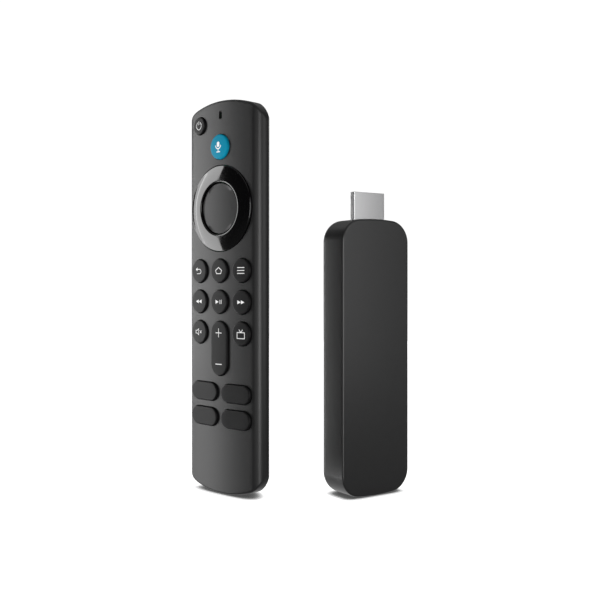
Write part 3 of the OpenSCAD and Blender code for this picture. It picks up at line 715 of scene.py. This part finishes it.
def nav_ring():
    """The glossy ring: a gently bulged cone with rounded edges and a skirt."""
    bevel_steps, cone_steps = 5, 14
    rim_h = RING_BEVEL - RING_RIM_DEPTH
    cone_in, cone_out = RING_HOLE_R + RING_BEVEL, RING_R - RING_BEVEL
    profile = [(RING_R - RING_SKIRT_T, -RING_UNDER), (RING_HOLE_R, -RING_UNDER)]
    for k in range(bevel_steps):
        turn = pi / 2 * k / bevel_steps
        profile.append((cone_in - RING_BEVEL * cos(turn), RING_RISE - RING_BEVEL * (1 - sin(turn))))
    for k in range(cone_steps + 1):
        along = k / cone_steps
        bulge = 4 * RING_BULGE * along * (1 - along)
        height = RING_RISE + along * (rim_h - RING_RISE) + bulge
        profile.append((cone_in + along * (cone_out - cone_in), height))
    for k in range(1, bevel_steps + 1):
        turn = pi / 2 * k / bevel_steps
        profile.append((cone_out + RING_BEVEL * sin(turn), rim_h - RING_BEVEL * (1 - cos(turn))))
    profile += [(RING_R, -RING_SKIRT_END), (RING_R - RING_SKIRT_T, -RING_SKIRT_END)]
    verts, faces = stack(lathe(profile), closed=True)
    place = REMOTE @ face_matrix(0, RING_Z)
    add_piece("ring_gloss", verts, faces, place, GLOSS, "nav_ring", "ring_gloss", ["nav_ring"], sharp=28)


def select_key():
    """The round key inside the ring, crowned like the face."""
    def top(u, v):
        return SELECT_RISE - crown(u)

    verts, faces = cap_mesh(circle(SELECT_R, 96), SELECT_R, top, SELECT_RISE)
    place = REMOTE @ face_matrix(0, RING_Z)
    add_piece("select_cap", verts, faces, place, SELECT, "select_key", "select_plastic", ["select_key"])


# Signs printed on the keys

def stroke(points, width=STROKE, closed=False):
    """Left and right edges of a line of even width along points."""
    count = len(points)
    pairs = []
    for i, (u, v) in enumerate(points):
        before = points[i - 1] if closed or i else points[i]
        after = points[(i + 1) % count] if closed or i < count - 1 else points[i]
        into = Vector((u - before[0], v - before[1])).normalized()
        out = Vector((after[0] - u, after[1] - v)).normalized()
        along = (into + out).normalized()
        off = Vector((-along.y, along.x)) * (width / 2 / max(along.dot(into), along.dot(out)))
        pairs.append(((u + off.x, v + off.y), (u - off.x, v - off.y)))
    return pairs + pairs[:1] if closed else pairs


def bow(radius, start, end, steps=24, middle=(0, 0)):
    """Points along an arc, with its angles in degrees."""
    turns = [radians(start + (end - start) * i / steps) for i in range(steps + 1)]
    return [(middle[0] + radius * cos(turn), middle[1] + radius * sin(turn)) for turn in turns]


def bar(u0, v0, u1, v1, width=STROKE):
    """A straight line of even width."""
    return stroke([(u0, v0), (u1, v1)], width)


def arrow(tip, base, half, middle=0.0):
    """A filled triangle that points along the key's width."""
    blunt = 0.02
    return [((tip, middle + blunt), (tip, middle - blunt)), ((base, middle + half), (base, middle - half))]


def capsule(radius, low, high):
    """A filled upright pill between the middles of its two round ends."""
    turns = [radians(degrees) for degrees in range(180, -1, -15)]
    return [((radius * cos(turn), high + radius * sin(turn)), (radius * cos(turn), low - radius * sin(turn)))
            for turn in turns]


def key_signs():
    """Each sign as a list of strips; a strip is a row of left and right points."""
    house = [(-1.1, -1.05), (1.1, -1.05), (1.6, 0.1), (0, 1.2), (-1.6, 0.1)]
    speaker = [(-1.7, -0.5), (-1.0, -0.5), (-0.1, -1.1), (-0.1, 1.1), (-1.0, 0.5), (-1.7, 0.5)]
    screen = [(-1.75, -1.6), (1.75, -1.6), (1.75, 0.5), (-1.75, 0.5)]
    hook = [(-0.95, 0.6), (0.45, 0.6)] + bow(0.8, 90, -90, middle=(0.45, -0.2)) + [(-1.1, -1.0)]
    return {
        "power_key": [stroke(bow(1.42, 120, 420), 0.2), bar(0, 0.3, 0, 1.7, 0.2)],
        "back_key": [stroke(hook), arrow(-1.75, -0.85, 0.7, middle=0.6)],
        "home_key": [stroke(house, 0.26, closed=True)],
        "menu_key": [bar(-1.7, v, 1.7, v, 0.26) for v in (-1.03, 0, 1.03)],
        "rewind_key": [arrow(-1.65, -0.1, 0.68), arrow(0.05, 1.6, 0.68)],
        "play_key": [arrow(-0.05, -1.6, 0.72), bar(0.7, -0.72, 0.7, 0.72), bar(1.4, -0.72, 1.4, 0.72)],
        "forward_key": [arrow(1.65, 0.1, 0.68), arrow(-0.05, -1.6, 0.68)],
        "mute_key": [stroke(speaker, 0.22, closed=True), bar(0.65, 0.45, 1.55, -0.45, 0.2),
                     bar(0.65, -0.45, 1.55, 0.45, 0.2)],
        "guide_key": [stroke(screen, closed=True), bar(0, 0.5, -0.85, 1.5), bar(0, 0.5, 0.85, 1.5)],
        "volume_rocker": [bar(-1.55, 5.6, 1.55, 5.6), bar(0, 4.0, 0, 7.2), bar(-1.6, -5.7, 1.6, -5.7, 0.28)],
        "voice_key": [capsule(0.65, 0.45, 1.15), stroke(bow(1.3, 180, 360, middle=(0, 0.5)), 0.34),
                      bar(0, -0.8, 0, -1.9, 0.34), bar(-0.9, -1.9, 0.9, -1.9, 0.34)],
    }


def sign_mesh(strips, top):
    """Vertices and faces of strips of ink that reach a little above and below a key's top."""
    verts, faces = [], []
    for strip in strips:
        start = len(verts)
        for left, right in strip:
            for height in (INK, -INK):
                verts += [(u, v, top(u, v) + height) for u, v in (left, right)]
        for i in range(len(strip) - 1):
            a, b = start + 4 * i, start + 4 * i + 4
            faces += [(a, b, b + 1, a + 1), (a + 3, b + 3, b + 2, a + 2),
                      (a + 2, b + 2, b, a), (a + 1, b + 1, b + 3, a + 3)]
        last = start + 4 * (len(strip) - 1)
        faces += [(start, start + 1, start + 3, start + 2), (last + 2, last + 3, last + 1, last)]
    return verts, faces


def signs():
    """The white signs, each on its key's body."""
    for node, strips in key_signs().items():
        verts, faces = sign_mesh(strips, key_top(node))
        place = REMOTE @ face_matrix(*key_place(node))
        add_piece(node + "_sign", verts, faces, place, INK_WHITE, node, "key_rubber", sharp=20)


# Stick

STICK_OUTLINE = Outline(STICK_W, STICK_LEN, STICK_END_R, STICK_CORNER_R)


def stick_rings(profile):
    """Rings of the stick's outline for a list of (inset, depth)."""
    walk = STICK_OUTLINE.walk(side_steps=12, end_steps=12, corner_steps=12)
    return [[(x - nx * inset, depth, z - nz * inset) for x, z, nx, nz, _ in walk] for inset, depth in profile]


def back_inset(depth):
    """How far the stick's wall is drawn in at a depth of the back rounding."""
    over = max(0.0, depth - STICK_BACK_START)
    return STICK_BACK_EDGE_R - sqrt(STICK_BACK_EDGE_R ** 2 - over ** 2)


def plug_outline(inset, edge_r):
    """Outline of the plug with rounded edges, full width at the front and drawn in at the back."""
    half, low, high = PLUG_W / 2 - inset, inset, PLUG_T - inset
    back = PLUG_W / 2 - PLUG_TAPER - inset
    corners = [(-half, low), (half, low), (half, PLUG_SIDE), (back, high), (-back, high), (-half, PLUG_SIDE)]
    points, steps = [], 6
    for i, corner in enumerate(corners):
        at = Vector(corner)
        before = (Vector(corners[i - 1]) - at).normalized()
        after = (Vector(corners[(i + 1) % len(corners)]) - at).normalized()
        opening = before.angle(after) / 2
        middle = at + (before + after).normalized() * (edge_r / sin(opening))
        run = edge_r * cos(opening) / sin(opening)
        first, last = at + before * run, at + after * run
        for k in range(steps + 1):
            out = (first - middle).slerp(last - middle, k / steps)
            points.append(tuple(middle + out * edge_r))
    return points


def plug_ring(inset, edge_r, z):
    """The plug's outline at a height of the stick."""
    return [(x, PLUG_DEPTH + y, z) for x, y in plug_outline(inset, edge_r)]


def stick_front():
    """The front shell: a tray up to the seam, open for the plug and the power socket."""
    edge_steps, side_steps = 6, 6
    flat_inset, flat_margin = 6.0, 0.25
    sharp = 30
    turns = [pi / 2 * k / edge_steps for k in range(edge_steps + 1)]
    edge = [(STICK_FRONT_EDGE_R * (1 - sin(turn)), STICK_FRONT_EDGE_R * (1 - cos(turn))) for turn in turns]
    seam = STICK_SEAM - STICK_SEAM_GAP
    depths = [STICK_BACK_START + (seam - STICK_BACK_START) * k / side_steps for k in range(side_steps + 1)]
    side = [(back_inset(depth), depth) for depth in depths]
    inside = [(back_inset(seam) + STICK_WALL, seam), (STICK_WALL, STICK_BACK_START), (STICK_WALL, STICK_WALL)]
    face = [(flat_inset, 0.0), (STICK_FRONT_EDGE_R + flat_margin, 0.0)]
    verts, faces = stack(stick_rings(face + edge + side + inside))
    shell = add_piece("stick_front", verts, faces, STICK, STICK_CASE, "player", "stick_case",
                      ["stick_front_shell"], sharp=sharp, flat_sides=True)

    # Openings for the plug at the upper end and for the power socket at the lower end
    hole_below, hole_above = 6, 4
    heights = (STICK_LEN - hole_below, STICK_LEN + hole_above)
    cut(shell, *stack([plug_ring(-PLUG_HOLE_GAP, PLUG_HOLE_EDGE_R, z) for z in heights]), STICK)
    socket_below, socket_above = 1, 2.2
    corners = [(-USB_W / 2, USB_FRONT), (USB_W / 2, USB_FRONT), (USB_W / 2, USB_BACK), (-USB_W / 2, USB_BACK)]
    cut(shell, *stack([[(x, y, z) for x, y in corners] for z in (-socket_below, socket_above)]), STICK)
    shell.data.shade_smooth()
    shell.data.set_sharp_from_angle(angle=radians(sharp))


def stick_rear():
    """The rear cover: a shallow tray with the back's rounding, from the seam on."""
    arc_steps = 12
    inner_inset, flat_inset, flat_margin = 6.0, 8.0, 0.3
    start = asin((STICK_SEAM + STICK_SEAM_GAP - STICK_BACK_START) / STICK_BACK_EDGE_R)
    turns = [start + (pi / 2 - start) * k / arc_steps for k in range(arc_steps + 1)]
    outside = [(STICK_BACK_EDGE_R * (1 - cos(turn)), STICK_BACK_START + STICK_BACK_EDGE_R * sin(turn))
               for turn in turns]
    seam_inset, seam_depth = outside[0]
    wall_inset, floor_depth = seam_inset + STICK_WALL, STICK_T - STICK_WALL
    inside = [(inner_inset, floor_depth), (wall_inset, floor_depth), (wall_inset, seam_depth)]
    face = [(STICK_BACK_EDGE_R + flat_margin, STICK_T), (flat_inset, STICK_T)]
    verts, faces = stack(stick_rings(inside + outside + face))
    add_piece("stick_rear", verts, faces, STICK, STICK_CASE, "player", "stick_case", ["stick_rear_cover"],
              sharp=30, flat_sides=True)


def plug():
    """The plug's sheet-metal tube with rounded edges and a rolled rim."""
    rim_steps = 6
    low, high = STICK_LEN - PLUG_IN, STICK_LEN + PLUG_OUT
    rim_r = PLUG_SHEET / 2
    rings = [plug_ring(0, PLUG_EDGE_R, low), plug_ring(0, PLUG_EDGE_R, high - rim_r)]
    for k in range(1, rim_steps + 1):
        turn = pi * k / rim_steps
        inset = rim_r * (1 - cos(turn))
        edge_r = max(PLUG_INNER_R, PLUG_EDGE_R - inset)
        rings.append(plug_ring(inset, edge_r, high - rim_r + rim_r * sin(turn)))
    rings.append(plug_ring(PLUG_SHEET, PLUG_INNER_R, low))
    verts, faces = stack(rings, closed=True)
    add_piece("plug_shell", verts, faces, STICK, PLUG, "player", "plug_metal", ["hdmi_plug_shell"],
              sharp=30, flat_sides=True)


# CAD nodes that show as they are

def cad_finishes():
    """Finishes of the pieces inside, and of the remote's back."""
    dark = moulded("black_plastic", (0.012, 0.012, 0.0125), 0.5)
    chip = moulded("chip_black", (0.010, 0.010, 0.011), 0.55)
    gold = brushed("contact_gold", (0.80, 0.55, 0.20), 0.25)
    steel = brushed("contact_steel", (0.62, 0.61, 0.58), 0.28)
    shield = brushed("shield_steel", (0.52, 0.53, 0.54), 0.35)
    spreader = brushed("spreader_metal", (0.66, 0.67, 0.68), 0.38)
    board = circuit_board("board_green", (0.010, 0.075, 0.035), (0.022, 0.14, 0.06))
    pad = moulded("pad_grey", (0.27, 0.32, 0.42), 0.8, mottle=0.12)
    emitter = moulded("emitter_plastic", (0.05, 0.055, 0.075), 0.15, grain=0.0)
    jacket = cell_jacket("cell_jacket", (0.010, 0.011, 0.013), (0.52, 0.26, 0.07))
    finishes = {
        CASE: ["remote_rear_case", "battery_cover"],
        dark: ["nav_carrier", "hdmi_insulator", "usb_tongue"],
        chip: ["processor", "memory_chip", "radio_chip", "microphone"],
        gold: ["hdmi_contacts", "wifi_antennas"],
        steel: ["positive_contact", "spring_contact", "switch_domes", "usb_socket_shell"],
        shield: ["shield_can"],
        spreader: ["heat_spreader"],
        board: ["player_board", "remote_board"],
        pad: ["thermal_pad"],
        emitter: ["ir_emitter"],
        jacket: ["upper_cell", "lower_cell"],
    }
    for finish, nodes in finishes.items():
        for node in nodes:
            polish(node, finish)


front_case()
keys()
nav_ring()
select_key()
signs()
stick_front()
stick_rear()
plug()
cad_finishes()


# Floor, lights and camera, in metres

def white_floor():
    """A white floor that glows, with contact shadows painted close to the part: an occlusion node darkens its
    colour and dims its glow there.
    """
    reach, fibre_mm, shadow_reach = 6, 30.0, 0.0032
    mesh = bpy.data.meshes.new("floor")
    mesh.from_pydata([(-reach, -reach, 0), (reach, -reach, 0), (reach, reach, 0), (-reach, reach, 0)],
                     [], [(0, 1, 2, 3)])
    floor = bpy.data.objects.new("floor", mesh)
    bpy.context.scene.collection.objects.link(floor)
    paper, principled = shader("floor_paper", (0.9, 0.9, 0.9), roughness=0.9)
    links = paper.node_tree.links
    fibres = noise(paper, fibre_mm)
    tone = blend_colours(paper, fibres, (0.88, 0.88, 0.88), (0.92, 0.92, 0.92))
    # Painted shadow: an ambient occlusion node darkens the floor's colour close to the part
    painted_shade = add_node(paper, "ShaderNodeAmbientOcclusion", samples=8)
    painted_shade.inputs["Distance"].default_value = shadow_reach
    links.new(tone, painted_shade.inputs["Color"])
    links.new(painted_shade.outputs["Color"], principled.inputs["Base Color"])
    # Painted shadow: the floor's glow dims where the occlusion node finds the part close by
    glow = map_range(paper, painted_shade.outputs["AO"], (0.4, 0.92), (0.07, 1.0))
    links.new(glow.outputs["Result"], principled.inputs["Emission Strength"])
    principled.inputs["Emission Color"].default_value = (1, 1, 1, 1)
    principled.inputs["Specular IOR Level"].default_value = 0.0
    mesh.materials.append(paper)
    floor.visible_glossy = False
    floor.visible_shadow = False


def area_light(name, place, target, size, power, lean=0):
    """A soft rectangular light that faces a target and may lean to its side by some degrees."""
    data = bpy.data.lights.new(name, "AREA")
    data.shape = "RECTANGLE"
    data.size, data.size_y = size
    data.energy = power
    light = bpy.data.objects.new(name, data)
    light.location = place
    light.rotation_euler = (Vector(target) - Vector(place)).to_track_quat("-Z", "Y").to_euler()
    light.rotation_euler.rotate_axis("Z", radians(lean))
    bpy.context.scene.collection.objects.link(light)


def lights():
    """Soft lights to the left, in front, to the right, behind and above."""
    area_light("left_softbox", (-0.45, 0.0575, 0.08), (0, 0.0575, 0.08), (0.125, 0.56), 0.95, lean=2.6)
    area_light("left_near_softbox", (-0.2, 0.0595, 0.1), (0, 0.0595, 0.1), (0.027, 0.15), 0.045)
    area_light("left_low_fill", (-0.45, 0.29, 0.03), (0, 0.29, 0.03), (0.13, 0.32), 0.5)
    area_light("front_softbox", (0.12, -0.7, 0.06), (0, 0, 0.07), (0.22, 0.4), 1.9)
    area_light("right_softbox", (0.261, -0.185, 0.12), (0.025, 0, 0.07), (0.2, 0.24), 0.215)
    area_light("front_fill", (-0.3, -0.757, 0.07), (-0.025, 0, 0.07), (0.48, 0.5), 0.58)
    area_light("side_fill", (0.6, -0.08, 0.10), (0.02, 0, 0.06), (0.35, 0.5), 0.06)
    area_light("back_softbox", (0.3, 0.75, 0.1), (-0.02, 0, 0.07), (0.5, 0.6), 1.5)
    area_light("overhead", (0, 0.1, 1.2), (0, 0.1, 0), (2.4, 2.4), 5.8)


def surroundings():
    """A white background, whose own light is strongest from behind and from below."""
    background_strength = 1.05
    world = bpy.data.worlds.new("studio")
    bpy.context.scene.world = world
    world.use_nodes = True
    links = world.node_tree.links
    background = world.node_tree.nodes["Background"]
    background.inputs["Color"].default_value = (1, 1, 1, 1)
    place = add_node(world, "ShaderNodeTexCoord")
    split = add_node(world, "ShaderNodeSeparateXYZ")
    links.new(place.outputs["Generated"], split.inputs["Vector"])
    behind = map_range(world, split.outputs["Y"], (-0.1, 0.7), (0.06, 0.75))
    below = map_range(world, split.outputs["Z"], (-0.25, 0.05), (1.0, 0.25))
    glow = add_node(world, "ShaderNodeMath", operation="MULTIPLY")
    links.new(behind.outputs["Result"], glow.inputs[0])
    links.new(below.outputs["Result"], glow.inputs[1])
    path = add_node(world, "ShaderNodeLightPath")
    strength = map_range(world, path.outputs["Is Camera Ray"], (0, 1), (0, background_strength))
    links.new(glow.outputs["Value"], strength.inputs["To Min"])
    links.new(strength.outputs["Result"], background.inputs["Strength"])
    bpy.context.scene.view_settings.view_transform = "Standard"


def camera():
    """A level camera at the photograph's place."""
    data = bpy.data.cameras.new("camera")
    data.lens = 52.95
    data.sensor_width = 36
    data.shift_y = -0.02925
    data.clip_start = 0.01
    eye = bpy.data.objects.new("camera", data)
    eye.location = (0.00057, -0.32181, 0.07628)
    eye.rotation_euler = (pi / 2, 0, 0)
    bpy.context.scene.collection.objects.link(eye)
    bpy.context.scene.camera = eye


white_floor()
lights()
surroundings()
camera()
